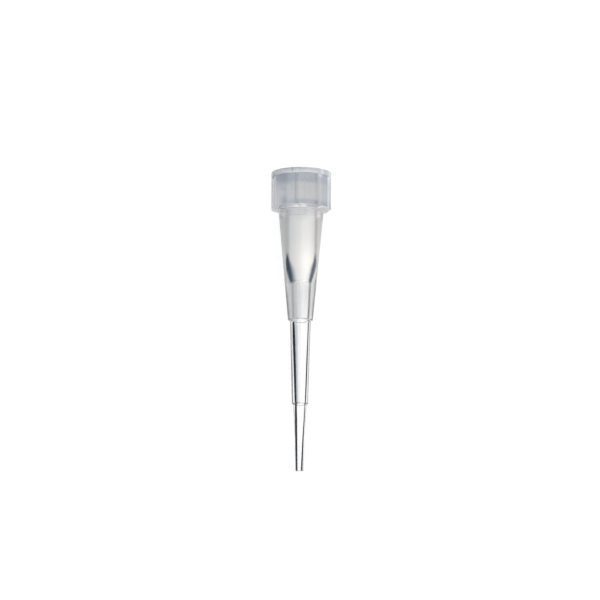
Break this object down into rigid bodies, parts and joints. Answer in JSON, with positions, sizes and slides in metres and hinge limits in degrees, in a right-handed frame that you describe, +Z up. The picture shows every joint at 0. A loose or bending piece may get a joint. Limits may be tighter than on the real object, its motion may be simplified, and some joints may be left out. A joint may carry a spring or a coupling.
{
  "type": "pipette tip",
  "caption": "Slim clear tip with a flat-sided collar, tapering in steps to a fine open point; it pushes onto a pipette's nose and draws up microlitre volumes.",
  "frame": {"origin": "under the middle of the lying tip's box, on the surface it lies on", "axes": "+Y along the lying tip from its open point towards its mouth, +X across it, +Z up; the tip's own axis rises 5.2 degrees from +Y towards +Z"},
  "size_m": [0.0068, 0.0342, 0.007],
  "materials": {
    "polypropylene": "natural clear polypropylene, finely frosted on the collar and body, polished and clear on the stem, the point and the bore"
  },
  "bodies": {
    "root": {"pipette_tip": "polypropylene"}
  },
  "joints": []
}
